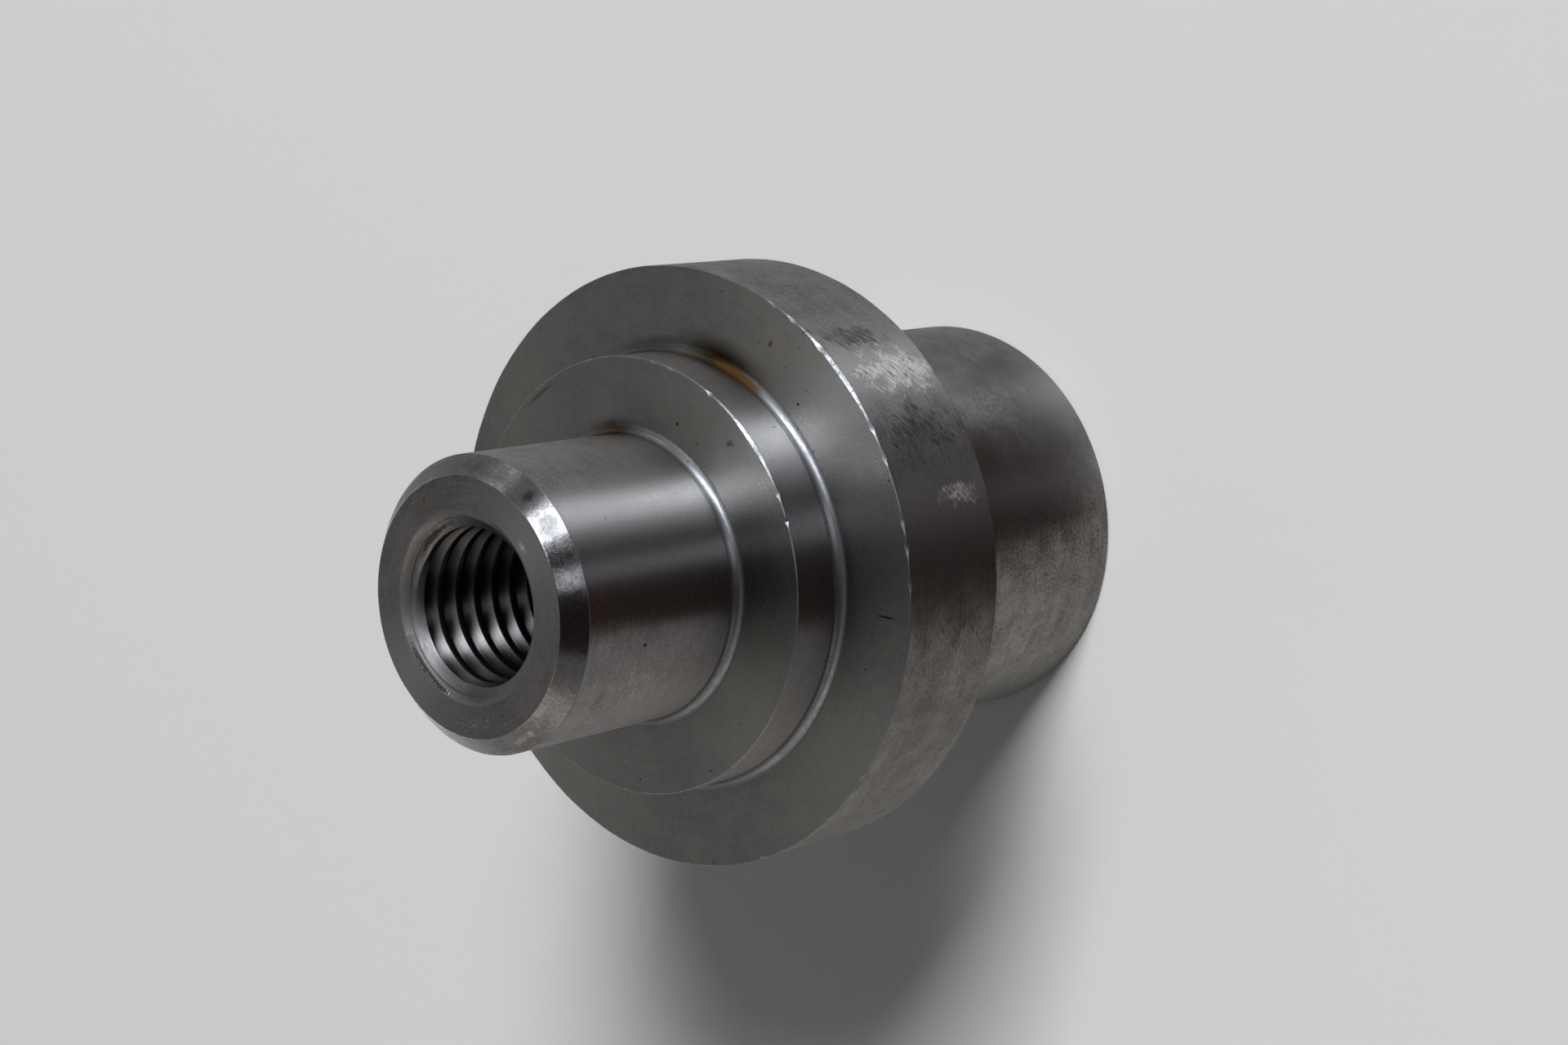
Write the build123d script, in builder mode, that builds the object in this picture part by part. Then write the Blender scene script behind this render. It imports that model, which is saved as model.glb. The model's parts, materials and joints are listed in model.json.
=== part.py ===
"""Turned flange body: one steel bar turned to four diameters, with a blind tapped hole in its nose.

The part stands on its shank end. Its axis is +Z, and the origin is the centre of the shank's end face.
"""
import math
import os

from build123d import *

# Driving dimensions in millimetres, from the shank end up to the nose.
shank_diameter = 45.0
shank_length = 34.5
flange_diameter = 64.0
flange_thickness = 14.5
shoulder_diameter = 46.0
shoulder_length = 6.5
spigot_diameter = 30.0
spigot_length = 23.0

# Edges: a clear lead-in chamfer on the nose, small edge breaks elsewhere, and tool-nose
# fillets in the three inner corners.
nose_chamfer = 2.0
flange_edge_break = 0.3
shoulder_edge_break = 0.3
shank_edge_break = 0.5
corner_fillet = 1.0

# Tapped hole for an M18 x 2.5 screw. The wall is bored to the thread's minor diameter.
thread_minor_diameter = 15.7
hole_depth = 38.0
drill_point_angle = 118.0
mouth_diameter = 19.5
mouth_angle = 120.0

# Heights of the faces that the lengths above give.
flange_rear_height = shank_length
flange_front_height = flange_rear_height + flange_thickness
shoulder_front_height = flange_front_height + shoulder_length
nose_height = shoulder_front_height + spigot_length

# Radii that the diameters above give.
shank_radius = shank_diameter / 2
flange_radius = flange_diameter / 2
shoulder_radius = shoulder_diameter / 2
spigot_radius = spigot_diameter / 2
bore_radius = thread_minor_diameter / 2
mouth_radius = mouth_diameter / 2

# The countersink's cone and the drill's point, as depths along the axis.
mouth_depth = (mouth_radius - bore_radius) / math.tan(math.radians(mouth_angle / 2))
point_depth = bore_radius / math.tan(math.radians(drill_point_angle / 2))


def ring_edges(body, radius, height):
    """Circular edges of the body with this radius at this height."""
    circles = body.edges().filter_by(GeomType.CIRCLE)
    at_height = [edge for edge in circles if abs(edge.arc_center.Z - height) < 0.01]
    return [edge for edge in at_height if abs(edge.radius - radius) < 0.01]


with BuildPart() as turned_body:
    # The outside is one stepped half-section turned about the axis.
    with BuildSketch(Plane.XZ) as outer_section:
        with BuildLine() as outer_outline:
            Polyline(
                (0, 0),
                (shank_radius, 0),
                (shank_radius, flange_rear_height),
                (flange_radius, flange_rear_height),
                (flange_radius, flange_front_height),
                (shoulder_radius, flange_front_height),
                (shoulder_radius, shoulder_front_height),
                (spigot_radius, shoulder_front_height),
                (spigot_radius, nose_height),
                (0, nose_height),
                close=True,
            )
        make_face()
    revolve(axis=Axis.Z)

    # Outer edges, from the shank end to the nose.
    chamfer(ring_edges(turned_body, shank_radius, 0), length=shank_edge_break)
    chamfer(ring_edges(turned_body, flange_radius, flange_rear_height), length=flange_edge_break)
    chamfer(ring_edges(turned_body, flange_radius, flange_front_height), length=flange_edge_break)
    chamfer(ring_edges(turned_body, shoulder_radius, shoulder_front_height), length=shoulder_edge_break)
    chamfer(ring_edges(turned_body, spigot_radius, nose_height), length=nose_chamfer)

    # Inner corners keep the round nose of the turning tool.
    fillet(ring_edges(turned_body, shank_radius, flange_rear_height), radius=corner_fillet)
    fillet(ring_edges(turned_body, shoulder_radius, flange_front_height), radius=corner_fillet)
    fillet(ring_edges(turned_body, spigot_radius, shoulder_front_height), radius=corner_fillet)

    # The blind hole: pointed drill bottom, straight wall, countersunk mouth.
    with BuildSketch(Plane.XZ) as hole_section:
        with BuildLine() as hole_outline:
            Polyline(
                (0, nose_height - hole_depth - point_depth),
                (bore_radius, nose_height - hole_depth),
                (bore_radius, nose_height - mouth_depth),
                (mouth_radius, nose_height),
                (0, nose_height),
                close=True,
            )
        make_face()
    revolve(axis=Axis.Z, mode=Mode.SUBTRACT)

turned_body.part.label = "turned_body"

os.makedirs("parts", exist_ok=True)
export_step(turned_body.part, "parts/turned_body.step")
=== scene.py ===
"""Turned flange body in bare steel: the finished surface, its studio and its camera.

The part stands on its shank end, its axis is +Z and every length here is in metres.
"""

import json
import math

import bmesh
import bpy
import numpy as np
from bpy.props import FloatProperty, IntProperty, PointerProperty, StringProperty
from mathutils import Matrix, Vector


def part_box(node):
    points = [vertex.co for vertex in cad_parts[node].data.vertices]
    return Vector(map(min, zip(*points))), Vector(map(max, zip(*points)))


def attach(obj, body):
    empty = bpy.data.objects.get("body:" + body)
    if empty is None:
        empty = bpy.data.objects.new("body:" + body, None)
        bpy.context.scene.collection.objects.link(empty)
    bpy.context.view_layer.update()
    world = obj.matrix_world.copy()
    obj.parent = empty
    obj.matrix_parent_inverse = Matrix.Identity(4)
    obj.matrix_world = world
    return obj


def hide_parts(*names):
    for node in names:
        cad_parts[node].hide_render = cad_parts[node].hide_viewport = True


bl_info = {
    "name": "Turned flange body",
    "version": (1, 0, 0),
    "blender": (4, 5, 0),
    "location": "3D View > Sidebar > Turned part",
    "description": "Builds the finished surface of a turned steel part and a studio to show it in",
    "category": "Add Mesh",
}

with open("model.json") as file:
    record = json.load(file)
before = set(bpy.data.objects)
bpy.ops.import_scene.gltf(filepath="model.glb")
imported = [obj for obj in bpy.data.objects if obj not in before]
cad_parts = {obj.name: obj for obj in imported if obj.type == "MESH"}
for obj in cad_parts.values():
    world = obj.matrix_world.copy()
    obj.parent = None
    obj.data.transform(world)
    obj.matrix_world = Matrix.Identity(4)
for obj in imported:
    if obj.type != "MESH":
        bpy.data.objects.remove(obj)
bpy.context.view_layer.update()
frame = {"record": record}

MM = 0.001
NODE = "turned_body"
MOUNTS = {mount["name"]: mount for mount in frame["record"]["mounts"]}


def mount_radius(name):
    """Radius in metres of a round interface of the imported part."""
    return MOUNTS[name]["dims"]["r_mm"] * MM


def mount_top(name):
    """Height of the upper end of a round interface's wall."""
    return MOUNTS[name]["pos_m"][2] + MOUNTS[name]["dims"]["length_mm"] * MM / 2


# Diameters and heights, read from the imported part.
_, TOP_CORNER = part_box(NODE)
NOSE_HEIGHT = TOP_CORNER.z
FLANGE_RADIUS = TOP_CORNER.x
FLANGE_FRONT = MOUNTS["flange_face"]["pos_m"][2]
SPIGOT_RADIUS = mount_radius("spigot")
SHOULDER_RADIUS = mount_radius("shoulder")
SHANK_RADIUS = mount_radius("shank")
BORE_RADIUS = mount_radius("nose_thread")

# The hole: depth of its wall, the countersink, the drill's point, and where the thread begins.
WALL_DEPTH = 38.0 * MM
MOUTH_ANGLE = 120.0
DRILL_POINT_ANGLE = 118.0
THREAD_START = 2.183 * MM
THREAD_FLANK_ANGLE = 30.0
THREAD_ROUNDING = 0.12 * MM
THREAD_FADE_TURNS = 1.5
# Rings of the drill's point, as shares of the way from the wall's end to its tip.
DRILL_POINT_RINGS = (0.0, 0.02, 0.5, 1.0)

# Azimuths, in degrees, of the small nicks in the broken edges.
FLANGE_NICKS = (-40.7, -46.2, -53.7, -72.2, -77.8, -89.6, -94.4, -100.8, -140.0, -171.0, 64.0, 118.0)
REAR_NICKS = (-63.0, -66.5, -71.0, -118.0, 35.0, 150.0)
SHOULDER_NICKS = (-23.6, -29.8, -44.2, -76.7, -84.0, 97.0)
# The bell curves of a broken edge: widths in degrees, and how far a nick widens the edge.
BULGE_WIDTH = 9.0
NICK_WIDTH = 0.7
NICK_RISE = 0.8
# The waves of a broken edge: height as a share of its width, waves per turn, phase.
EDGE_WAVES = ((0.05, 23, 1), (0.02, 57, 2), (0.015, 101, 0))
# How far past its own width a broken edge's points are looked for.
EDGE_MARGIN = 0.2 * MM

# The mesh: points on each rounded corner, the flat kept beside it, and what is merged.
FILLET_POINTS = 12
EDGE_POINTS = 4
THREAD_POINTS = 2
FLAT_MARGIN = 0.08 * MM
MERGE_DISTANCE = 1e-6
SHORTEST_EDGE = 1e-7
SHARP_ANGLE = 35.0


# ---------------- properties


class TurnedBodySizes(bpy.types.PropertyGroup):
    """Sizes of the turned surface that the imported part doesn't state."""

    corner_fillet: FloatProperty(
        name="Corner fillet", description="Radius that the tool's nose leaves in the inner corners",
        default=1.0 * MM, subtype="DISTANCE")
    nose_chamfer: FloatProperty(
        name="Nose chamfer", description="Width of the lead-in chamfer on the spigot",
        default=2.0 * MM, subtype="DISTANCE")
    edge_break: FloatProperty(
        name="Edge break", description="Width of the broken edges of the flange and the shoulder",
        default=0.3 * MM, subtype="DISTANCE")
    shank_break: FloatProperty(
        name="Shank edge break", description="Width of the broken edge of the shank's end",
        default=0.5 * MM, subtype="DISTANCE")
    edge_rounding: FloatProperty(
        name="Edge rounding", description="Small radius where two turned surfaces meet",
        default=0.1 * MM, subtype="DISTANCE")
    thread_pitch: FloatProperty(
        name="Thread pitch", description="Pitch of the coarse 18 mm thread",
        default=2.5 * MM, subtype="DISTANCE")
    thread_major_radius: FloatProperty(
        name="Thread major radius", description="Radius at the bottom of the thread's grooves",
        default=9.0 * MM, subtype="DISTANCE")
    thread_length: FloatProperty(
        name="Thread length", description="Depth of full thread below the nose",
        default=30.0 * MM, subtype="DISTANCE")
    mouth_radius: FloatProperty(
        name="Mouth radius", description="Outer radius of the countersunk mouth",
        default=9.75 * MM, subtype="DISTANCE")
    columns: IntProperty(
        name="Columns", description="Mesh columns round the axis", default=360, min=48)


class TurnedBodyColours(bpy.types.PropertyGroup):
    """Colours of the steel and of what lies on it, as sRGB hex values."""

    turned: StringProperty(
        name="Turned steel", description="Reflection colour of the turned cylinders", default="858280")
    rubbed: StringProperty(
        name="Rubbed steel", description="Reflection colour of the flange's rim and the shank",
        default="7A7774")
    faced: StringProperty(
        name="Faced steel", description="Reflection colour of the faced rings", default="868481")
    nose: StringProperty(
        name="Nose steel", description="Reflection colour of the nose and countersink", default="757270")
    burnished: StringProperty(
        name="Burnished steel", description="Reflection colour of the chamfer", default="7A7775")
    edges: StringProperty(
        name="Edges", description="Reflection colour of fillets and broken edges", default="7A7A7A")
    # The oil colour also paints the shade in the thread's grooves.
    oil: StringProperty(
        name="Dark oil", description="Colour of the oil and swarf dust in grooves and pits",
        default="2A2725")
    rust: StringProperty(
        name="Rust", description="Colour of the thick orange-brown stain", default="5C4119")
    # Also the colour of the painted shade in the inner corners beside the rust.
    tarnish_and_shade: StringProperty(
        name="Tarnish", description="Colour of the thin dark film round the rust", default="2F2616")
    scuffed: StringProperty(
        name="Scuffed steel", description="Reflection colour of freshly scuffed steel", default="B6B2AC")


class StudioSettings(bpy.types.PropertyGroup):
    """Floor, lamps and camera."""

    floor_colour: StringProperty(
        name="Floor", description="Colour of the pale floor", default="EFEFEE")
    surroundings: FloatProperty(
        name="Surroundings", description="Radiance of the room round the lamps", default=0.28)
    backdrop: FloatProperty(
        name="Backdrop", description="Radiance of the pale sweep beyond the floor", default=0.62)
    ambient: FloatProperty(
        name="Ambient", description="Share of the room's light that falls on matt surfaces", default=0.35)
    key: FloatProperty(
        name="Key", description="Radiance of the soft lamp that lights matt surfaces", default=26.0)
    window: FloatProperty(
        name="Window", description="Radiance of the tall soft lamp in the metal", default=14.0)
    overhead: FloatProperty(
        name="Overhead", description="Radiance of the broad lamp above", default=0.9)
    slit: FloatProperty(
        name="Slit", description="Radiance of the narrow strip beside the camera", default=1.7)
    doorway: FloatProperty(
        name="Doorway", description="Radiance of the faint low lamp in the chamfer", default=1.0)
    fill: FloatProperty(
        name="Fill", description="Radiance of the pale fill on the shadow side", default=0.7)
    lens: FloatProperty(
        name="Lens", description="Focal length of the camera in millimetres", default=62.54,
        unit="CAMERA")


# ---------------- small tools


def linear(hex_colour):
    """Linear RGBA of an sRGB hex value."""
    channels = [int(hex_colour[i:i + 2], 16) / 255 for i in (0, 2, 4)]
    return [c / 12.92 if c <= 0.04045 else ((c + 0.055) / 1.055) ** 2.4 for c in channels] + [1.0]


def add_node(tree, kind, inputs=None, **settings):
    """A new node of this kind with its settings, and with each named input set or linked.

    An input is given as a value, a socket, or a node, whose first output is then linked.
    """
    node = tree.nodes.new(kind)
    for name, value in settings.items():
        setattr(node, name, value)
    for socket, value in (inputs or {}).items():
        if isinstance(value, bpy.types.Node):
            value = value.outputs[0]
        if isinstance(value, bpy.types.NodeSocket):
            tree.links.new(value, node.inputs[socket])
        else:
            node.inputs[socket].default_value = value
    return node


def add_group(name, inputs, outputs):
    """A new shader node group with these float or vector sockets, and its input node."""
    group = bpy.data.node_groups.new(name, "ShaderNodeTree")
    for direction, sockets in (("INPUT", inputs), ("OUTPUT", outputs)):
        for socket, kind in sockets.items():
            group.interface.new_socket(socket, in_out=direction, socket_type="NodeSocket" + kind)
    return group, add_node(group, "NodeGroupInput")


def add_material(name):
    """A new material and its node tree, which is still empty."""
    material = bpy.data.materials.new(name)
    material.use_nodes = True
    material.node_tree.nodes.clear()
    return material, material.node_tree


def add_object(name, data):
    """A new object with this mesh, lamp or camera, put into the scene."""
    item = bpy.data.objects.new(name, data)
    bpy.context.scene.collection.objects.link(item)
    return item


# ---------------- outline


def corner_points(before, corner, after, rounding, count):
    """A tangent arc that rounds one corner: points at even angles about the arc's centre."""
    run_in = (corner - before) / np.linalg.norm(corner - before)
    run_out = (after - corner) / np.linalg.norm(after - corner)
    turn = math.atan2(run_in[0] * run_out[1] - run_in[1] * run_out[0], run_in @ run_out)
    reach = rounding * math.tan(abs(turn) / 2)
    side = np.array([-run_in[1], run_in[0]]) * math.copysign(1, turn)
    centre = corner - run_in * reach + side * rounding
    angles = np.linspace(0, turn, count)
    x, y = -side * rounding
    cosines, sines = np.cos(angles), np.sin(angles)
    return centre + np.stack([x * cosines - y * sines, x * sines + y * cosines], 1)


def outer_outline(sizes):
    """Half-section of the outside, from the centre of the foot up to the mouth of the hole.

    Straight runs are joined by tangent arcs. Returns the radius and height of each point. A
    corner is its radius and height, and the radius of the arc that rounds it.
    """
    rounding, fillet = sizes.edge_rounding, sizes.corner_fillet
    edge, shank_edge, chamfer = sizes.edge_break, sizes.shank_break, sizes.nose_chamfer
    flange_rear = mount_top("shank") + fillet
    shoulder_front = mount_top("shoulder") + edge
    corners = [
        (0, 0, 0),
        (SHANK_RADIUS - shank_edge, 0, rounding),
        (SHANK_RADIUS, shank_edge, rounding),
        (SHANK_RADIUS, flange_rear, fillet),
        (FLANGE_RADIUS - edge, flange_rear, rounding),
        (FLANGE_RADIUS, flange_rear + edge, rounding),
        (FLANGE_RADIUS, FLANGE_FRONT - edge, rounding),
        (FLANGE_RADIUS - edge, FLANGE_FRONT, rounding),
        (SHOULDER_RADIUS, FLANGE_FRONT, fillet),
        (SHOULDER_RADIUS, shoulder_front - edge, rounding),
        (SHOULDER_RADIUS - edge, shoulder_front, rounding),
        (SPIGOT_RADIUS, shoulder_front, fillet),
        (SPIGOT_RADIUS, NOSE_HEIGHT - chamfer, rounding),
        (SPIGOT_RADIUS - chamfer, NOSE_HEIGHT, rounding),
        (sizes.mouth_radius, NOSE_HEIGHT, 0),
    ]
    places = np.array(corners)[:, :2]
    points = [places[0]]
    for index in range(1, len(corners) - 1):
        radius = corners[index][2]
        count = FILLET_POINTS if radius > rounding else EDGE_POINTS
        points.extend(corner_points(*places[index - 1:index + 2], radius, count))
    points.append(places[-1])
    return with_support(np.array(points), FLAT_MARGIN)


def with_support(points, gap):
    """Adds a point just inside both ends of each straight run, which keeps its shading flat."""
    spans = np.linalg.norm(np.diff(points, axis=0), axis=1)
    result = [points[0]]
    for start, end, span in zip(points, points[1:], spans):
        if span > 4 * gap:
            result.append(start + (end - start) * gap / span)
            result.append(end - (end - start) * gap / span)
        result.append(end)
    return np.array(result)


# ---------------- threaded hole


def thread_section(sizes):
    """One turn of the thread's section: offsets along the pitch, and radii.

    Offset 0 is the deeper edge of the crest. The crest is flat at the bore's radius, the flanks
    slope by the flank angle, and the root's flat is an eighth of the pitch. Corners are rounded.
    """
    pitch = sizes.thread_pitch
    depth = sizes.thread_major_radius - BORE_RADIUS
    flank = depth * math.tan(math.radians(THREAD_FLANK_ANGLE))
    root = pitch / 8
    crest = pitch - root - 2 * flank
    corners = np.array([
        (-crest, 0), (0, 0), (flank, depth), (flank + root, depth), (pitch - crest, 0), (pitch, 0)])
    arcs = [
        corner_points(before, corner, after, THREAD_ROUNDING, THREAD_POINTS)
        for before, corner, after in zip(corners, corners[1:], corners[2:])]
    points = np.concatenate(arcs)
    return points[:, 0], BORE_RADIUS + points[:, 1]


def hole_wall(sizes, angles):
    """Radius and height of the hole's wall on a grid whose rows follow the thread's helix.

    The depth is the row less the pitch times the turned angle, held between the mouth and the
    end of the wall, so the rows outside fold into the two end circles. The radius is the
    thread's, faded to the drilled wall at its end, or the countersink's cone where that is wider.
    """
    pitch = sizes.thread_pitch
    offsets, radii = thread_section(sizes)
    turns = math.ceil(WALL_DEPTH / pitch) + 2
    first = THREAD_START - pitch * math.ceil(THREAD_START / pitch)
    rows = (first + pitch * np.arange(turns)[:, None] + offsets).ravel()
    section = np.tile(radii, turns)
    depth = np.clip(rows[:, None] - pitch * angles / math.tau, 0, WALL_DEPTH)
    fade = np.clip((sizes.thread_length - depth) / (THREAD_FADE_TURNS * pitch), 0, 1)
    radius = BORE_RADIUS + (section[:, None] - BORE_RADIUS) * fade
    cone = sizes.mouth_radius - depth * math.tan(math.radians(MOUTH_ANGLE / 2))
    return np.maximum(radius, cone), NOSE_HEIGHT - depth


# ---------------- the turned body


FINISHES = [
    "turned", "flange_rim", "shank", "faced", "nose_face", "burnished_chamfer", "fillet", "broken_edge",
    "hole",
]
# A run is straight along or across the axis when it strays by less than this share of its length.
STRAIGHT = 0.02
NEAR = 0.01 * MM


def grid_faces(rows, columns, first_vertex):
    """Quads of a grid of vertices, row by row, facing to the left of the rows' way."""
    row, column = np.mgrid[0:rows - 1, 0:columns - 1]
    corner = first_vertex + row * columns + column
    quads = np.stack([corner, corner + 1, corner + columns + 1, corner + columns], -1)
    return quads.reshape(-1, 4)


def finish_of_runs(radius, height, sizes):
    """The finish of each run of the outline: turned, faced, chamfered, filleted, or a broken edge."""
    fillet = sizes.corner_fillet
    fillet_feet = (mount_top("shank"), FLANGE_FRONT, mount_top("shoulder") + sizes.edge_break)
    radial, axial = np.diff(radius), np.diff(height)
    along_axis = np.abs(radial) < STRAIGHT * np.abs(axial)
    across_axis = np.abs(axial) < STRAIGHT * np.abs(radial)
    finish = np.full(len(radial), FINISHES.index("broken_edge"))
    finish[along_axis] = FINISHES.index("turned")
    finish[along_axis & (radius[:-1] > FLANGE_RADIUS - NEAR)] = FINISHES.index("flange_rim")
    finish[along_axis & (height[:-1] < mount_top("shank") + NEAR)] = FINISHES.index("shank")
    finish[across_axis] = FINISHES.index("faced")
    finish[across_axis & (height[:-1] > NOSE_HEIGHT - NEAR)] = FINISHES.index("nose_face")
    on_chamfer = (height[:-1] > mount_top("spigot") + NEAR) & ~across_axis
    finish[on_chamfer] = FINISHES.index("burnished_chamfer")
    curved = ~along_axis & ~across_axis
    for foot in fillet_feet:
        in_fillet = curved & (height[:-1] > foot - NEAR) & (height[:-1] < foot + fillet)
        finish[in_fillet] = FINISHES.index("fillet")
    return finish


def broken_edges(sizes):
    """The hand-broken edges: corner, width, base and bulge shares, the bulge's azimuth, nicks."""
    edge = sizes.edge_break
    flange_rear = mount_top("shank") + sizes.corner_fillet
    shoulder_front = mount_top("shoulder") + edge
    return [
        (FLANGE_RADIUS, FLANGE_FRONT, edge, 0.27, 0.90, -60.0, FLANGE_NICKS),
        (FLANGE_RADIUS, flange_rear, edge, 0.80, 0.15, -60.0, REAR_NICKS),
        (SHOULDER_RADIUS, shoulder_front, edge, 0.33, 0.70, -61.0, SHOULDER_NICKS),
    ]


def worn_edge(radius, height, angles, edge):
    """Narrows a broken edge toward its sharp corner, unevenly, as hand deburring leaves it.

    Points near the corner move to corner + share x (point - corner). The share is a base, plus
    sine waves that make it uneven, plus a bulge and a nick at each given azimuth, which are bell
    curves exp(-(turn / width)^2).
    """
    corner_radius, corner_height, reach, base, bulge, bulge_azimuth, nicks = edge
    share = base + sum(rise * np.sin(count * angles + phase) for rise, count, phase in EDGE_WAVES)
    bells = [(bulge_azimuth, bulge, BULGE_WIDTH), *((nick, NICK_RISE, NICK_WIDTH) for nick in nicks)]
    for azimuth, rise, width in bells:
        turn = (np.degrees(angles) - azimuth + 180) % 360 - 180
        share += rise * np.exp(-(turn / width) ** 2)
    near = np.hypot(radius - corner_radius, height - corner_height) < reach + EDGE_MARGIN
    worn_radius = np.where(near, corner_radius + (radius - corner_radius) * share, radius)
    worn_height = np.where(near, corner_height + (height - corner_height) * share, height)
    return worn_radius, worn_height


def body_grids(sizes, angles):
    """The outline of the outside, and the surface as grids of radius and height.

    The grids are the outside, the hole's wall and the drill's point, in the order in which the
    half-section runs through them. A grid has a column for each angle about the axis.
    """
    outline = outer_outline(sizes).T
    everywhere = np.ones_like(angles)
    outside = [np.outer(values, everywhere) for values in outline]
    for edge in broken_edges(sizes):
        outside = worn_edge(*outside, angles, edge)
    point_share = np.array(DRILL_POINT_RINGS)
    point_depth = BORE_RADIUS / math.tan(math.radians(DRILL_POINT_ANGLE / 2))
    point_radius = BORE_RADIUS * (1 - point_share)
    point_height = NOSE_HEIGHT - WALL_DEPTH - point_depth * point_share
    point = np.outer(point_radius, everywhere), np.outer(point_height, everywhere)
    return outline, [outside, hole_wall(sizes, angles), point]


def weld(mesh):
    """Merges the vertices where the grids meet, and turns every face outward."""
    shell = bmesh.new()
    shell.from_mesh(mesh)
    bmesh.ops.remove_doubles(shell, verts=shell.verts, dist=MERGE_DISTANCE)
    bmesh.ops.dissolve_degenerate(shell, edges=shell.edges, dist=SHORTEST_EDGE)
    bmesh.ops.recalc_face_normals(shell, faces=shell.faces)
    shell.to_mesh(mesh)
    shell.free()


def body_mesh(sizes):
    """The whole surface as one closed mesh: outside, countersink, thread and drilled end.

    A face gets its finish, and a vertex its distance along the half-section in mm: the length
    of the outline up to it, or past the outline the depth in the hole.
    """
    angles = np.linspace(0, math.tau, sizes.columns + 1)
    outline, grids = body_grids(sizes, angles)
    steps = np.hypot(*np.diff(outline, axis=1))
    outline_length = np.concatenate([[0], np.cumsum(steps)])
    positions, faces, finishes, lengths, first = [], [], [], [], 0
    for index, (radius, height) in enumerate(grids):
        rows, columns = radius.shape
        grid = np.stack([radius * np.cos(angles), radius * np.sin(angles), height], -1)
        positions.append(grid.reshape(-1, 3))
        faces.append(grid_faces(rows, columns, first))
        if index == 0:
            run_finish = finish_of_runs(*outline, sizes)
            lengths.append(np.repeat(outline_length, columns))
        else:
            run_finish = np.full(rows - 1, FINISHES.index("hole"))
            lengths.append((outline_length[-1] + NOSE_HEIGHT - height).ravel())
        finishes.append(np.repeat(run_finish, columns - 1))
        first += rows * columns
    mesh = bpy.data.meshes.new("turned_steel_body")
    mesh.from_pydata(np.concatenate(positions), [], np.concatenate(faces))
    mesh.polygons.foreach_set("material_index", np.concatenate(finishes).astype(np.int32))
    along = mesh.attributes.new("along", "FLOAT", "POINT")
    along.data.foreach_set("value", np.concatenate(lengths) / MM)
    weld(mesh)
    mesh.shade_smooth()
    mesh.set_sharp_from_angle(angle=math.radians(SHARP_ANGLE))
    return mesh


# ---------------- finish of the steel


def place_group():
    """Where a point of the body is: (azimuth in degrees, radius in mm, height in mm).

    Marks is a position on the unrolled surface: the azimuth's unit vector, and the distance
    along the half-section in mm, so a noise scaled on it draws the circles that turning leaves.
    """
    group, _ = add_group("turned_place", {}, {"Place": "Vector", "Marks": "Vector"})
    position = add_node(group, "ShaderNodeTexCoord").outputs["Object"]
    flat = add_node(group, "ShaderNodeVectorMath", {0: position, 1: (1, 1, 0)}, operation="MULTIPLY")
    axes = add_node(group, "ShaderNodeSeparateXYZ", {0: position})
    azimuth = add_node(group, "ShaderNodeMath", {
        0: axes.outputs["Y"], 1: axes.outputs["X"]}, operation="ARCTAN2")
    radius = add_node(group, "ShaderNodeVectorMath", {0: flat}, operation="LENGTH")
    place = add_node(group, "ShaderNodeCombineXYZ", {
        "X": azimuth, "Y": radius.outputs["Value"], "Z": axes.outputs["Z"]})
    scaled = add_node(group, "ShaderNodeVectorMath", {
        0: place, 1: (math.degrees(1), 1 / MM, 1 / MM)}, operation="MULTIPLY")
    around = add_node(group, "ShaderNodeVectorMath", {0: flat}, operation="NORMALIZE")
    along = add_node(group, "ShaderNodeAttribute", attribute_name="along").outputs["Fac"]
    across = add_node(group, "ShaderNodeCombineXYZ", {"Z": along})
    marks = add_node(group, "ShaderNodeVectorMath", {0: around, 1: across}, operation="ADD")
    add_node(group, "NodeGroupOutput", {"Place": scaled, "Marks": marks})


def patch_group():
    """Mask of one worn or stained place: 1 inside an ellipsoid in (azimuth, radius, height).

    The distance from the centre, as a share of the reach, gets the noise times the raggedness
    added. The mask falls smoothly from 1 to 0 where that goes from 1 - soft to 1.
    """
    inputs = {
        "Place": "Vector", "Centre": "Vector", "Reach": "Vector",
        "Ragged": "Float", "Noise": "Float", "Soft": "Float",
    }
    group, given = add_group("worn_patch", inputs, {"Mask": "Float"})
    offset = add_node(group, "ShaderNodeVectorMath", {
        0: given.outputs["Place"], 1: given.outputs["Centre"]}, operation="SUBTRACT")
    # The azimuth wraps at half a turn. Radius and height never reach the metre that wraps them.
    half_turn = Vector((180, 1000, 1000))
    turned = add_node(group, "ShaderNodeVectorMath", {
        0: offset, 1: half_turn, 2: -half_turn}, operation="WRAP")
    share = add_node(group, "ShaderNodeVectorMath", {
        0: turned, 1: given.outputs["Reach"]}, operation="DIVIDE")
    distance = add_node(group, "ShaderNodeVectorMath", {0: share}, operation="LENGTH").outputs["Value"]
    uneven = add_node(group, "ShaderNodeMath", {
        0: given.outputs["Noise"], 1: given.outputs["Ragged"], 2: distance}, operation="MULTIPLY_ADD")
    inner = add_node(group, "ShaderNodeMath", {0: 1.0, 1: given.outputs["Soft"]}, operation="SUBTRACT")
    mask = add_node(group, "ShaderNodeMapRange", {
        "Value": uneven, "From Min": 1.0, "From Max": inner, "To Min": 0.0, "To Max": 1.0},
        interpolation_type="SMOOTHSTEP")
    add_node(group, "NodeGroupOutput", {"Mask": mask})


# Tool marks: how many on a circle of radius 1 and along the half-section, and their relief.
MARKS_PER_RADIAN = 2.2
MARKS_PER_MM = 5.5
MARK_DEPTH = 0.004 * MM
MARK_STRENGTH = 0.09
# Scratches: the azimuth of the side that they are laid out on, and their depth.
SCRATCHED_SIDE = -75.0
SCRATCH_DEPTH = 0.04 * MM
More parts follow.
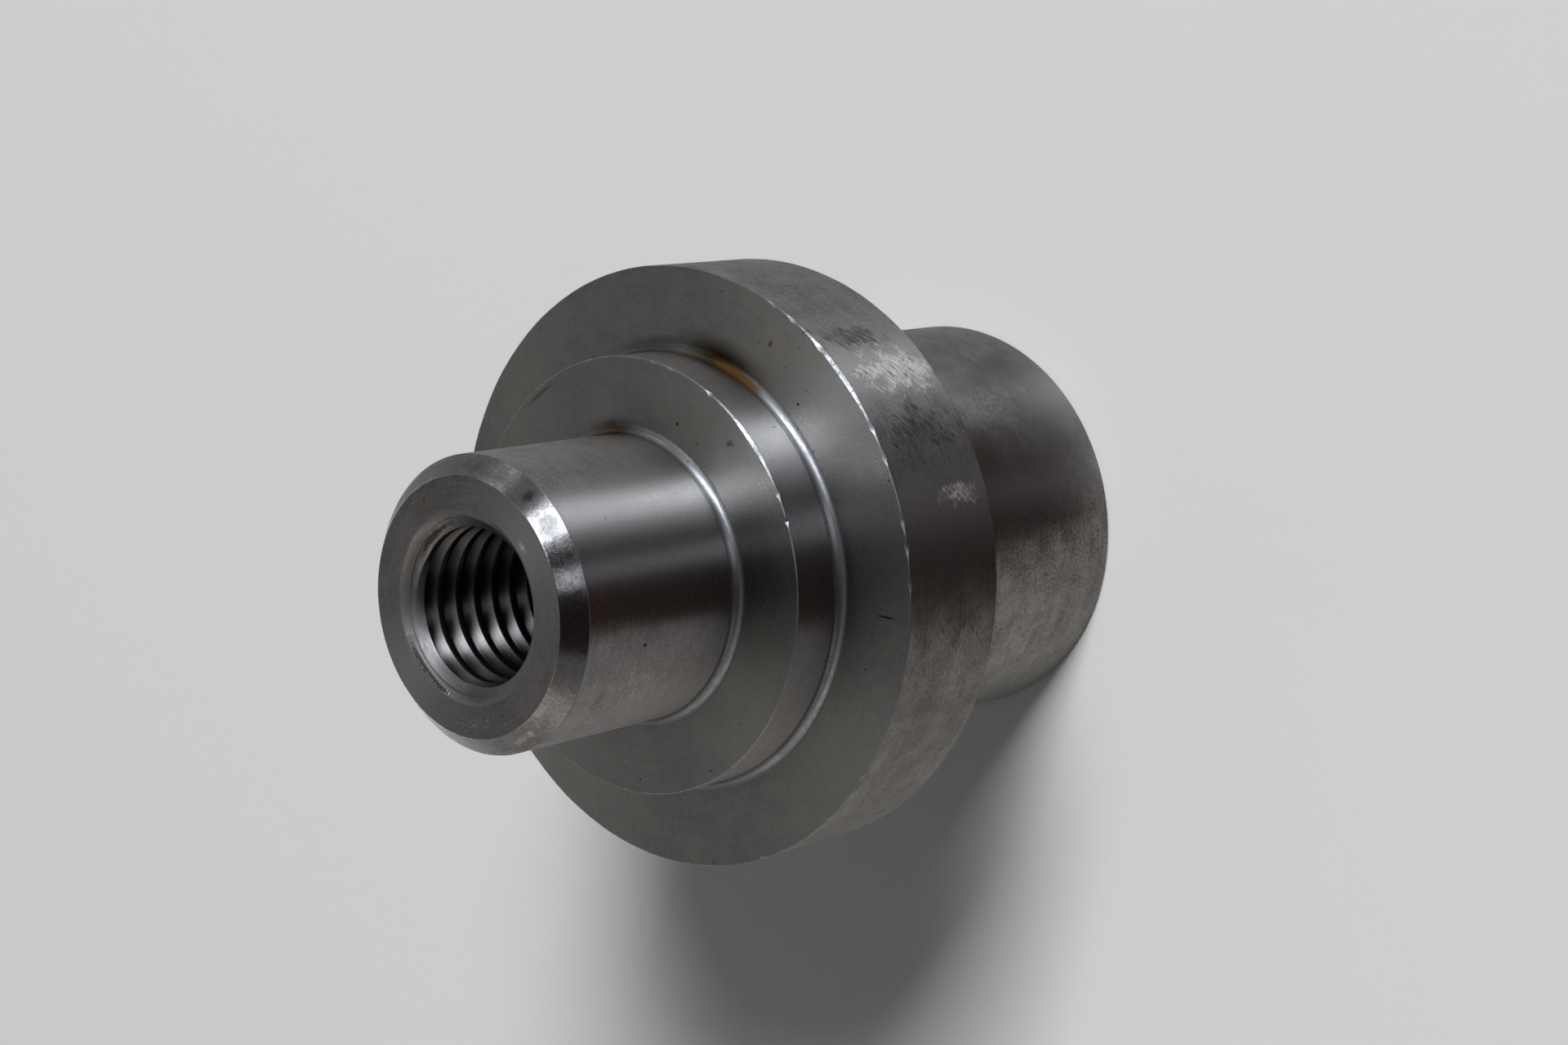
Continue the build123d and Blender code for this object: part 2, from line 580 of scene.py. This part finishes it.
# How dull, scuffed and oiled steel differ from clean steel. The darkening also gives the shade painted
# over the chamfer's highlight.
DULL_AND_SHADE_DARKENING = 0.42
DULL_ROUGHNESS = 0.40
SCUFFED_ROUGHNESS = 0.50
OILED_ROUGHNESS = 0.22
# Scuffs and rust look partly matt: they lose up to this share of their metallic look.
MATT_SHARE = 0.25
# Chatter of the countersink: steps every so many degrees, and their rise for each degree.
CHATTER_STEP = 2.7
CHATTER_RISE = 0.20 * MM
# The share of the oil, and of the shade painted with it, on the crests and in the grooves, and the
# distances past the bore, in mm, between which it changes. It begins at the first level below the
# nose and is full at the second.
OIL_AND_SHADE_SHARES = (0.52, 0.97)
OIL_AND_SHADE_DEPTHS = (0.10, 0.75)
OIL_AND_SHADE_LEVELS = (0.7, 2.1)

# Places on the body as (azimuth, radius, height) in degrees and mm, with the reach of each mark
# in the same units, how ragged its edge is, how soft, and how strong.
MARKS = {
    "Rust": [
        ((-38.5, 23.3, 49.6), (12.0, 0.75, 1.1), 0.4, 0.5, 0.85),
        ((-24.0, 23.2, 49.7), (23.0, 0.45, 0.7), 0.4, 0.9, 0.6),
        ((-3.0, 15.3, 55.75), (9.0, 0.6, 0.8), 0.6, 0.8, 0.7),
        ((15.5, 11.7, 78.5), (1.6, 0.3, 0.5), 1.2, 0.5, 0.8),
        ((-43.6, 28.2, 49.0), (0.6, 0.45, 0.5), 1.0, 0.4, 0.9),
    ],
    "Tarnish": [
        # A thin dark film round the rust. The first three also paint shade into the inner corners: flange
        # face to shoulder, and shoulder to spigot.
        ((-32.0, 23.7, 49.3), (20.5, 2.8, 2.8), 0.3, 0.9, 1.0),
        ((-9.0, 23.6, 49.4), (21.0, 1.5, 1.8), 0.4, 0.9, 0.55),
        ((-7.0, 15.4, 56.4), (20.0, 1.8, 4.5), 0.4, 1.0, 1.0),
        ((20.0, 22.3, 55.4), (9.0, 0.35, 0.6), 0.8, 0.8, 0.5),
        ((-140.0, 15.0, 72.8), (11.0, 1.0, 1.2), 0.9, 0.9, 0.3),
    ],
    "Scuff": [
        ((-61.0, 32.0, 40.5), (9.5, 1.5, 12.5), 1.3, 0.9, 1.0),
        ((-86.5, 32.0, 39.0), (5.5, 1.5, 6.3), 1.7, 1.0, 1.0),
        ((-122.0, 32.0, 40.5), (22.0, 1.5, 9.0), 1.4, 1.0, 0.65),
        ((-135.0, 15.0, 68.0), (22.0, 1.0, 9.0), 1.4, 1.0, 0.75),
        ((-61.0, 15.0, 64.0), (5.0, 1.0, 9.0), 1.4, 1.0, 0.65),
        ((150.0, 22.5, 12.0), (60.0, 1.0, 14.0), 1.6, 1.0, 0.75),
        ((-130.0, 22.5, 14.0), (28.0, 1.0, 12.0), 1.6, 1.0, 0.75),
        ((128.0, 9.6, 78.3), (24.0, 0.25, 0.35), 0.8, 0.6, 0.9),
        ((-164.0, 14.0, 77.5), (30.0, 1.2, 1.2), 1.6, 1.0, 0.9),
        ((170.0, 11.6, 78.5), (36.0, 2.6, 0.5), 1.6, 1.0, 0.6),
        ((-63.0, 10.6, 78.5), (12.0, 1.0, 0.5), 1.4, 1.0, 0.8),
    ],
    "Dull": [
        # Darker, rougher dull steel. The patch at -63 degrees on the chamfer is painted shade over the
        # window's highlight, dimming it.
        ((12.0, 14.0, 77.5), (62.0, 2.5, 2.0), 1.2, 0.7, 1.0),
        ((-166.0, 14.0, 77.5), (50.0, 2.5, 2.0), 1.4, 0.8, 0.4),
        ((-140.0, 32.0, 42.0), (42.0, 1.0, 9.0), 1.4, 0.7, 0.3),
        ((5.0, 32.0, 42.0), (62.0, 1.0, 9.0), 1.2, 0.8, 0.45),
        ((-26.0, 22.5, 12.0), (32.0, 1.0, 24.0), 0.8, 0.8, 0.7),
        ((48.0, 8.8, 77.9), (56.0, 1.0, 0.8), 1.0, 0.8, 0.9),
        # Painted shade over the chamfer's highlight, which also makes it rougher.
        ((-63.0, 14.0, 77.5), (8.5, 2.2, 2.0), 0.8, 0.8, 0.85),
        ((170.0, 8.8, 77.9), (30.0, 1.0, 0.8), 1.0, 0.8, 0.8),
    ],
    "Smear": [
        ((-73.0, 32.0, 41.5), (11.0, 1.5, 12.0), 1.5, 1.0, 0.85),
        ((-52.0, 32.0, 43.0), (6.5, 1.5, 12.0), 1.5, 1.0, 1.0),
        ((-61.0, 32.0, 41.0), (7.5, 1.5, 12.0), 1.5, 1.0, 0.7),
        ((-57.0, 20.6, 55.5), (4.5, 1.5, 0.6), 0.8, 1.0, 0.8),
        ((-112.0, 32.0, 42.0), (9.0, 1.5, 9.0), 1.6, 1.0, 0.6),
    ],
    "Chatter": [
        ((127.0, 9.5, 78.3), (27.0, 0.4, 0.4), 0.3, 0.5, 1.0),
    ],
    "Dirt": [
        ((-37.0, 17.9, 55.5), (0.8, 0.25, 0.5), 0.6, 0.4, 0.9),
        ((-57.3, 25.6, 49.0), (0.5, 0.2, 0.5), 0.6, 0.4, 0.9),
        ((-117.0, 15.0, 68.6), (1.0, 0.5, 0.3), 0.6, 0.4, 0.9),
        ((-107.6, 29.0, 49.0), (0.3, 1.6, 0.4), 0.2, 0.6, 0.9),
        ((-48.5, 14.0, 77.5), (3.2, 1.3, 1.3), 1.6, 0.9, 0.75),
        ((22.0, 8.4, 77.75), (36.0, 0.45, 0.4), 2.0, 0.6, 0.85),
        ((127.0, 8.9, 78.0), (52.0, 0.08, 0.1), 0.1, 0.5, 0.8),
        ((50.0, 8.7, 77.9), (34.0, 0.08, 0.1), 0.1, 0.5, 0.8),
        ((-8.0, 8.45, 77.75), (34.0, 0.08, 0.1), 0.1, 0.5, 0.8),
    ],
}


def wear_group():
    """Masks of each kind of mark, and of the oil and painted shade in the hole, darkest in the grooves."""
    group, _ = add_group("wear", {}, {name: "Float" for name in (*MARKS, "Oil")})
    place_node = add_node(group, "ShaderNodeGroup", node_tree=bpy.data.node_groups["turned_place"])
    place = place_node.outputs["Place"]
    position = add_node(group, "ShaderNodeTexCoord").outputs["Object"]
    noise = add_node(group, "ShaderNodeTexNoise", {
        "Vector": position, "Scale": 1 / (1.6 * MM), "Detail": 4.0, "Roughness": 0.65})
    around_zero = add_node(group, "ShaderNodeMath", {0: noise, 1: 0.5}, operation="SUBTRACT")
    masks = {}
    for name, marks in MARKS.items():
        total = 0.0
        for centre, reach, ragged, soft, strength in marks:
            patch = add_node(group, "ShaderNodeGroup", {
                "Place": place, "Centre": centre, "Reach": reach, "Ragged": ragged,
                "Noise": around_zero, "Soft": soft}, node_tree=bpy.data.node_groups["worn_patch"])
            weighed = add_node(group, "ShaderNodeMath", {0: patch, 1: strength}, operation="MULTIPLY")
            total = add_node(group, "ShaderNodeMath", {0: total, 1: weighed}, operation="MAXIMUM")
        masks[name] = total
    axes = add_node(group, "ShaderNodeSeparateXYZ", {0: place})
    bore, nose = BORE_RADIUS / MM, NOSE_HEIGHT / MM
    # Oil and painted shade: more toward the bottom of the thread's grooves, and only from just below the
    # mouth.
    in_groove = add_node(group, "ShaderNodeMapRange", {
        "Value": axes.outputs["Y"], "From Min": bore + OIL_AND_SHADE_DEPTHS[0], "From Max": bore + OIL_AND_SHADE_DEPTHS[1],
        "To Min": OIL_AND_SHADE_SHARES[0], "To Max": OIL_AND_SHADE_SHARES[1]})
    below_mouth = add_node(group, "ShaderNodeMapRange", {
        "Value": axes.outputs["Z"], "From Min": nose - OIL_AND_SHADE_LEVELS[0], "From Max": nose - OIL_AND_SHADE_LEVELS[1],
        "To Min": 0.0, "To Max": 1.0})
    masks["Oil"] = add_node(group, "ShaderNodeMath", {0: in_groove, 1: below_mouth}, operation="MULTIPLY")
    add_node(group, "NodeGroupOutput", masks)


def tool_marks(tree, place):
    """Noise drawn out along the circles of turning: lines 0.2 mm apart and 26 degrees long."""
    stretched = add_node(tree, "ShaderNodeVectorMath", {
        0: place.outputs["Marks"], 1: (MARKS_PER_RADIAN, MARKS_PER_RADIAN, MARKS_PER_MM)},
        operation="MULTIPLY")
    return add_node(tree, "ShaderNodeTexNoise", {
        "Vector": stretched, "Scale": 1.0, "Detail": 3.0, "Roughness": 0.6})


def uneven_share(tree, position, marks, film, streaks, mottle):
    """A factor near 1 for the colour: streaks follow the tool marks, mottle the dull film.

    A grain of 0.3 mm breaks the film up.
    """
    grain = add_node(tree, "ShaderNodeTexNoise", {
        "Vector": position, "Scale": 1 / (0.3 * MM), "Detail": 2.0, "Roughness": 0.6})
    uneven = add_node(tree, "ShaderNodeMath", {0: film, 1: grain}, operation="ADD")
    film_share = add_node(tree, "ShaderNodeMapRange", {
        "Value": uneven, "From Min": 0.8, "From Max": 1.2, "To Min": 1 - mottle, "To Max": 1 + mottle})
    streak_share = add_node(tree, "ShaderNodeMapRange", {
        "Value": marks, "From Min": 0.3, "From Max": 0.7, "To Min": 1 - streaks, "To Max": 1 + streaks})
    return add_node(tree, "ShaderNodeMath", {0: film_share, 1: streak_share}, operation="MULTIPLY")


def scratch_noise(tree, position, tilt, length, width):
    """Noise drawn out into scratches on the scratched side, tilted from the circles."""
    turned = add_node(tree, "ShaderNodeMapping", {
        "Vector": position, "Rotation": (math.radians(tilt), 0, math.radians(SCRATCHED_SIDE)),
        "Scale": (length, length, width)}, vector_type="TEXTURE")
    return add_node(tree, "ShaderNodeTexNoise", {
        "Vector": turned, "Scale": 1.0, "Detail": 2.0, "Roughness": 0.6})


def scratch_masks(tree, position, wear):
    """The height of two crossing sets of scratches, and the masks of scuffs and smears in them.

    Scuffs are bright scratches about 0.1 mm wide: the higher the mark's mask, the more of them
    show. Smears are dark scratches between those of the first set.
    """
    one_way = scratch_noise(tree, position, 38, 1.8 * MM, 0.10 * MM)
    other_way = scratch_noise(tree, position, -52, 1.4 * MM, 0.12 * MM)
    crossed = add_node(tree, "ShaderNodeMath", {0: one_way, 1: other_way}, operation="MAXIMUM")
    raised = add_node(tree, "ShaderNodeMath", {
        0: wear.outputs["Scuff"], 1: 0.48, 2: crossed}, operation="MULTIPLY_ADD")
    scuffed = add_node(tree, "ShaderNodeMapRange", {
        "Value": raised, "From Min": 0.86, "From Max": 1.10, "To Min": 0.0, "To Max": 0.85})
    lowered = add_node(tree, "ShaderNodeMath", {
        0: wear.outputs["Smear"], 1: -0.32, 2: one_way}, operation="MULTIPLY_ADD")
    smeared = add_node(tree, "ShaderNodeMapRange", {
        "Value": lowered, "From Min": 0.28, "From Max": 0.16, "To Min": 0.0, "To Max": 0.8})
    return crossed, scuffed, smeared


def dot_masks(tree, position):
    """Masks of the pits and specks: a dot in the cells of a 1.5 mm pattern, its size uneven.

    A pit is a dark dot up to 0.2 mm across. A cell without one has a smaller bright speck.
    """
    cells = add_node(tree, "ShaderNodeTexVoronoi", {"Vector": position, "Scale": 1 / (1.5 * MM)})
    chosen = add_node(tree, "ShaderNodeSeparateXYZ", {0: cells.outputs["Color"]})
    pit_size = add_node(tree, "ShaderNodeMapRange", {
        "Value": chosen, "From Min": 0.3, "From Max": 1.0, "To Min": 0.0, "To Max": 0.075})
    speck_size = add_node(tree, "ShaderNodeMapRange", {
        "Value": chosen, "From Min": 0.3, "From Max": 0.1, "To Min": 0.0, "To Max": 0.05})
    pits = add_node(tree, "ShaderNodeMath", {0: cells, 1: pit_size}, operation="LESS_THAN")
    specks = add_node(tree, "ShaderNodeMath", {0: cells, 1: speck_size}, operation="LESS_THAN")
    return pits, specks


def steel_colour(tree, wear, position, colour, share, scuffed, smeared, oil):
    """The clean steel, darker where it is dull or shade is painted, under each kind of mark in turn."""
    colours = bpy.context.scene.turned_colours
    pits, specks = dot_masks(tree, position)
    clean = add_node(tree, "ShaderNodeVectorMath", {
        0: linear(colour)[:3], "Scale": share}, operation="SCALE")
    # Darker where dull, and where shade is painted over the chamfer's highlight.
    dull = add_node(tree, "ShaderNodeMath", {
        0: wear.outputs["Dull"], 1: -DULL_AND_SHADE_DARKENING, 2: 1.0}, operation="MULTIPLY_ADD")
    base = add_node(tree, "ShaderNodeVectorMath", {0: clean, "Scale": dull}, operation="SCALE")
    layers = [
        (scuffed, colours.scuffed),
        (smeared, colours.oil),
        (wear.outputs["Dirt"], colours.oil),
        (pits, colours.oil),
        (specks, colours.scuffed),
        # Tarnish round the rust, partly painted shade in the inner corners.
        (wear.outputs["Tarnish"], colours.tarnish_and_shade),
        (wear.outputs["Rust"], colours.rust),
    ]
    # The oil in the hole, with shade painted into the thread's grooves.
    if oil:
        depth = add_node(tree, "ShaderNodeMath", {0: wear.outputs["Oil"], 1: oil}, operation="MULTIPLY")
        layers.append((depth, colours.oil))
    for mask, layer_colour in layers:
        base = add_node(tree, "ShaderNodeMix", {
            "Factor": mask, "A": base, "B": linear(layer_colour)}, data_type="RGBA").outputs["Result"]
    return base


def steel_roughness(tree, wear, roughness, share, scuffed, oil):
    """Bright streaks are smoother, and dull, scuffed and oiled steel have their own roughness."""
    uneven = add_node(tree, "ShaderNodeMath", {0: roughness, 1: share}, operation="DIVIDE")
    dulled = add_node(tree, "ShaderNodeMix", {
        "Factor": wear.outputs["Dull"], "A": uneven, "B": max(roughness, DULL_ROUGHNESS)},
        data_type="FLOAT")
    rough = add_node(tree, "ShaderNodeMix", {
        "Factor": scuffed, "A": dulled, "B": SCUFFED_ROUGHNESS}, data_type="FLOAT")
    if not oil:
        return rough
    return add_node(tree, "ShaderNodeMix", {
        "Factor": wear.outputs["Oil"], "A": rough, "B": OILED_ROUGHNESS}, data_type="FLOAT")


def chatter_normal(tree, place, wear, normal):
    """The steps where the countersink jumped: a zigzag of the azimuth, at the mouth only."""
    axes = add_node(tree, "ShaderNodeSeparateXYZ", {0: place.outputs["Place"]})
    steps = add_node(tree, "ShaderNodeMath", {
        0: axes.outputs["X"], 1: CHATTER_STEP / 2}, operation="PINGPONG")
    return add_node(tree, "ShaderNodeBump", {
        "Height": steps, "Strength": wear.outputs["Chatter"], "Distance": CHATTER_RISE, "Normal": normal})


def steel_material(name, colour, roughness, spread, streaks, mottle, waviness=0.0, oil=0.0):
    """Bare steel as the lathe left it, with its wear.

    Colour is the clean reflection colour. Spread is how far the circular tool marks spread a
    highlight across themselves. Streaks and mottle are the shares by which the tool marks and
    the uneven dull film on the steel change its colour and roughness. Waviness is the height in
    mm of the shallow waves that bend a reflection, and oil the share of the oil that shows, which
    also paints shade into the thread's grooves.
    """
    material, tree = add_material(name)
    place = add_node(tree, "ShaderNodeGroup", node_tree=bpy.data.node_groups["turned_place"])
    wear = add_node(tree, "ShaderNodeGroup", node_tree=bpy.data.node_groups["wear"])
    position = add_node(tree, "ShaderNodeTexCoord").outputs["Object"]
    marks = tool_marks(tree, place)
    # The dull film: patches of 3 mm broken up by finer ones.
    film = add_node(tree, "ShaderNodeTexNoise", {
        "Vector": position, "Scale": 1 / (3 * MM), "Detail": 6.0, "Roughness": 0.65})
    share = uneven_share(tree, position, marks, film, streaks, mottle)
    crossed, scuffed, smeared = scratch_masks(tree, position, wear)
    base = steel_colour(tree, wear, position, colour, share, scuffed, smeared, oil)
    rough = steel_roughness(tree, wear, roughness, share, scuffed, oil)
    matt = add_node(tree, "ShaderNodeMath", {0: scuffed, 1: wear.outputs["Rust"]}, operation="MAXIMUM")
    metallic = add_node(tree, "ShaderNodeMath", {
        0: matt, 1: -MATT_SHARE, 2: 1.0}, operation="MULTIPLY_ADD")

    # Relief too fine for the mesh: tool marks, waves, chatter and scratches.
    normal = add_node(tree, "ShaderNodeBump", {
        "Height": marks, "Strength": MARK_STRENGTH, "Distance": MARK_DEPTH})
    if waviness:
        normal = add_node(tree, "ShaderNodeBump", {
            "Height": film, "Strength": 1.0, "Distance": waviness * MM, "Normal": normal})
    if oil:
        normal = chatter_normal(tree, place, wear, normal)
    gouged = add_node(tree, "ShaderNodeBump", {
        "Height": crossed, "Strength": scuffed, "Distance": SCRATCH_DEPTH, "Normal": normal})
    # The highlight spreads across the circles that run round the axis.
    tangent = add_node(tree, "ShaderNodeTangent", direction_type="RADIAL", axis="Z")
    shader = add_node(tree, "ShaderNodeBsdfPrincipled", {
        "Base Color": base, "Metallic": metallic, "Roughness": rough,
        "Anisotropic": spread, "Anisotropic Rotation": 0.25, "Tangent": tangent, "Normal": gouged})
    add_node(tree, "ShaderNodeOutputMaterial", {"Surface": shader})
    return material


def steel_finishes(colours):
    """The material of each finish, in the order of FINISHES.

    A row is the name, colour, roughness, spread, streaks, mottle, and where there are any, the
    waviness and the oil with its painted groove shade.
    """
    return [
        # Cylinders: fine circular feed marks spread a highlight along the axis into a band.
        ("fine_turned_steel", colours.turned, 0.39, 1.0, 0.12, 0.15),
        # The flange's rim, rubbed duller by chuck jaws and handling.
        ("rubbed_rim_steel", colours.rubbed, 0.45, 0.92, 0.14, 0.17),
        # The shank, turned finer than the rim.
        ("shank_steel", colours.rubbed, 0.36, 0.92, 0.12, 0.20),
        # Faced rings: their circular marks draw a highlight out from the axis.
        ("faced_steel", colours.faced, 0.29, 0.94, 0.05, 0.09),
        # The nose, faced with a coarser feed, so duller.
        ("nose_faced_steel", colours.nose, 0.43, 0.6, 0.16, 0.20),
        # The lead-in chamfer, burnished by a broad tool until it mirrors.
        ("burnished_steel", colours.burnished, 0.19, 0.3, 0.12, 0.22, 0.035),
        # Fillets: the tool's round nose leaves them smooth and bright.
        ("fillet_steel", colours.edges, 0.34, 0.3, 0.15, 0.14),
        # Edges broken by hand with a file, so bright in patches.
        ("filed_edge_steel", colours.edges, 0.38, 0.0, 0.15, 0.22),
        # The countersunk and tapped hole, wet with cutting oil below its mouth, with painted groove shade.
        ("tapped_steel", colours.nose, 0.45, 0.2, 0.12, 0.08, 0.0, 0.97),
    ]


# ---------------- pieces


class MESH_OT_turned_body(bpy.types.Operator):
    """Builds the turned steel body with its fillets, edges, thread and finish"""

    bl_idname = "mesh.turned_body"
    bl_label = "Turned body"

    def execute(self, context):
        mesh = body_mesh(context.scene.turned_sizes)
        body = add_object("turned_steel_body", mesh)
        place_group()
        patch_group()
        wear_group()
        for finish in steel_finishes(context.scene.turned_colours):
            mesh.materials.append(steel_material(*finish))
        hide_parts(NODE)
        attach(body, "root")
        return {"FINISHED"}


# ---------------- studio


# The camera and what it looks at, in millimetres, and its turn about its own axis in degrees.
CAMERA_PLACE = (0.0, -200.3, 256.6)
CAMERA_AIM = (2.67, -0.04, 30.13)
CAMERA_ROLL = 100.29
# Every lamp: the direction, width and height seen from the part in degrees, the colour, and
# whether it shows in the metal only or lights matt surfaces only.
LAMPS = (
    ("key", -40, 38, 20, 20, "FFFFFF", False),
    ("window", -35.5, 42, 14, 50, "EAF2FF", True),
    ("slit", -82.5, 24, 11, 56, "EAF2FF", True),
    ("doorway", 13, 26, 20, 16, "EAF2FF", True),
    ("overhead", 32, 68, 30, 30, "FFFCF8", True),
    ("fill", -195, 40, 40, 50, "FFFCF8", True),
)
LAMP_DISTANCE = 8.0
FLOOR_RADIUS = 1.0
FLOOR_POINTS = 96
# The rows of the black card, from the part outward and then up: distance from the axis and
# height in metres, and the first and last azimuth in degrees.
BLACK_CARD_ROWS = (
    (0.026, 0.0004, -98, -30),
    (0.06, 0.0004, -116, -42),
    (0.10, 0.0004, -124, -52),
    (9.0, 0.0004, -126, -52),
    (9.0, 8.0, -146, -52),
    (0.1, 9.6, -146, -52),
)
BLACK_CARD_COLUMNS = 23
BLACK_CARD_COLOUR = "5A4643"
# The sines of the elevations between which the pale sweep fades into the dim room.
SWEEP_TOP = (0.02, 0.30)


def add_lamp(name, azimuth, elevation, width, height, colour, in_metal, radiance):
    """A soft rectangular lamp far from the part, facing it. Its energy is pi x area x radiance."""
    light = bpy.data.lights.new(name, "AREA")
    light.shape = "RECTANGLE"
    light.size = 2 * LAMP_DISTANCE * math.tan(math.radians(width / 2))
    light.size_y = 2 * LAMP_DISTANCE * math.tan(math.radians(height / 2))
    light.energy = radiance * math.pi * light.size * light.size_y
    light.color = linear(colour)[:3]
    a, e = math.radians(azimuth), math.radians(elevation)
    direction = Vector((math.cos(a) * math.cos(e), math.sin(a) * math.cos(e), math.sin(e)))
    lamp = add_object(name, light)
    lamp.location = direction * LAMP_DISTANCE
    lamp.rotation_euler = (-direction).to_track_quat("-Z", "Y").to_euler()
    lamp.visible_camera = False
    lamp.visible_diffuse = not in_metal
    lamp.visible_glossy = in_metal


class SCENE_OT_studio(bpy.types.Operator):
    """Sets a pale floor, a dim room, soft lamps, a black card and the camera"""

    bl_idname = "scene.studio"
    bl_label = "Studio"

    def execute(self, context):
        scene = context.scene
        studio = scene.studio_settings
        self.floor(studio)
        self.room(scene, studio)
        for name, *look in LAMPS:
            add_lamp(name, *look, getattr(studio, name))
        self.black_card()
        self.camera(scene, studio)
        scene.view_settings.view_transform = "Standard"
        return {"FINISHED"}

    def floor(self, studio):
        """A round floor of pale laminate, matt with a faint sheen."""
        angles = np.linspace(0, math.tau, FLOOR_POINTS, endpoint=False)
        rim = np.stack([np.cos(angles), np.sin(angles), np.zeros_like(angles)], -1) * FLOOR_RADIUS
        mesh = bpy.data.meshes.new("floor")
        mesh.from_pydata(rim, [], [range(len(rim))])
        floor = add_object("floor", mesh)
        material, tree = add_material("pale_laminate")
        shader = add_node(tree, "ShaderNodeBsdfPrincipled", {
            "Base Color": linear(studio.floor_colour), "Roughness": 0.7, "Specular IOR Level": 0.2})
        add_node(tree, "ShaderNodeOutputMaterial", {"Surface": shader})
        mesh.materials.append(material)

    def black_card(self):
        """A black card on the camera's side that only the metal sees.

        It lies on the floor, narrower beside the part, then rises and leans over the top. Each
        row of its surface is an arc about the part's axis, from its first angle to its last.
        """
        reach, height, first, last = np.array(BLACK_CARD_ROWS).T
        angles = np.radians(np.linspace(first, last, BLACK_CARD_COLUMNS).T)
        positions = np.stack([
            reach[:, None] * np.cos(angles), reach[:, None] * np.sin(angles),
            np.broadcast_to(height[:, None], angles.shape)], -1)
        mesh = bpy.data.meshes.new("black_card")
        mesh.from_pydata(positions.reshape(-1, 3), [], grid_faces(*angles.shape, 0))
        card = add_object("black_card", mesh)
        material, tree = add_material("black_card")
        shader = add_node(tree, "ShaderNodeBsdfDiffuse", {"Color": linear(BLACK_CARD_COLOUR)})
        add_node(tree, "ShaderNodeOutputMaterial", {"Surface": shader})
        mesh.materials.append(material)
        card.visible_camera = False
        card.visible_diffuse = False
        card.visible_shadow = False

    def room(self, scene, studio):
        """A dim grey room above a pale sweep, weaker on matt surfaces than in the metal."""
        world = bpy.data.worlds.new("room")
        world.use_nodes = True
        tree = world.node_tree
        tree.nodes.clear()
        direction = add_node(tree, "ShaderNodeTexCoord").outputs["Generated"]
        up = add_node(tree, "ShaderNodeSeparateXYZ", {0: direction}).outputs["Z"]
        strength = add_node(tree, "ShaderNodeMapRange", {
            "Value": up, "From Min": SWEEP_TOP[0], "From Max": SWEEP_TOP[1],
            "To Min": studio.backdrop, "To Max": studio.surroundings}, interpolation_type="SMOOTHSTEP")
        seen_by = add_node(tree, "ShaderNodeLightPath")
        # Diffuse surfaces get less of it, so that the floor keeps the part's shadow.
        lit = add_node(tree, "ShaderNodeMath", {
            0: seen_by.outputs["Is Diffuse Ray"], 1: studio.ambient - 1, 2: 1.0}, operation="MULTIPLY_ADD")
        share = add_node(tree, "ShaderNodeMath", {0: strength, 1: lit}, operation="MULTIPLY")
        background = add_node(tree, "ShaderNodeBackground", {"Color": (1, 1, 1, 1), "Strength": share})
        add_node(tree, "ShaderNodeOutputWorld", {"Surface": background})
        scene.world = world

    def camera(self, scene, studio):
        """A camera aimed at the part and turned about its own axis."""
        place, aim = Vector(CAMERA_PLACE) * MM, Vector(CAMERA_AIM) * MM
        camera = add_object("camera", bpy.data.cameras.new("camera"))
        level = (aim - place).to_track_quat("-Z", "Y").to_matrix()
        turned = level @ Matrix.Rotation(-math.radians(CAMERA_ROLL), 3, "Z")
        camera.matrix_world = Matrix.Translation(place) @ turned.to_4x4()
        camera.data.lens = studio.lens
        camera.data.sensor_width = 36.0
        camera.data.clip_start = 0.01
        scene.camera = camera


class VIEW3D_PT_turned_body(bpy.types.Panel):
    """Lists the pieces and their settings"""

    bl_idname = "VIEW3D_PT_turned_body"
    bl_label = "Turned flange body"
    bl_space_type = "VIEW_3D"
    bl_region_type = "UI"
    bl_category = "Turned part"

    def draw(self, context):
        scene = context.scene
        for operator, settings in (
                (MESH_OT_turned_body, scene.turned_sizes), (None, scene.turned_colours),
                (SCENE_OT_studio, scene.studio_settings)):
            box = self.layout.box()
            if operator:
                box.operator(operator.bl_idname)
            for name in settings.bl_rna.properties.keys():
                if name not in ("name", "rna_type"):
                    box.prop(settings, name)


# ---------------- registration


CLASSES = (
    TurnedBodySizes, TurnedBodyColours, StudioSettings,
    MESH_OT_turned_body, SCENE_OT_studio, VIEW3D_PT_turned_body,
)


def register():
    """Registers the classes and gives the scene its settings."""
    for cls in CLASSES:
        bpy.utils.register_class(cls)
    bpy.types.Scene.turned_sizes = PointerProperty(type=TurnedBodySizes)
    bpy.types.Scene.turned_colours = PointerProperty(type=TurnedBodyColours)
    bpy.types.Scene.studio_settings = PointerProperty(type=StudioSettings)


def unregister():
    """Takes the settings and the classes away again."""
    del bpy.types.Scene.studio_settings
    del bpy.types.Scene.turned_colours
    del bpy.types.Scene.turned_sizes
    for cls in reversed(CLASSES):
        bpy.utils.unregister_class(cls)


def main():
    register()
    bpy.ops.mesh.turned_body()
    bpy.ops.scene.studio()


if __name__ == "__main__":
    main()
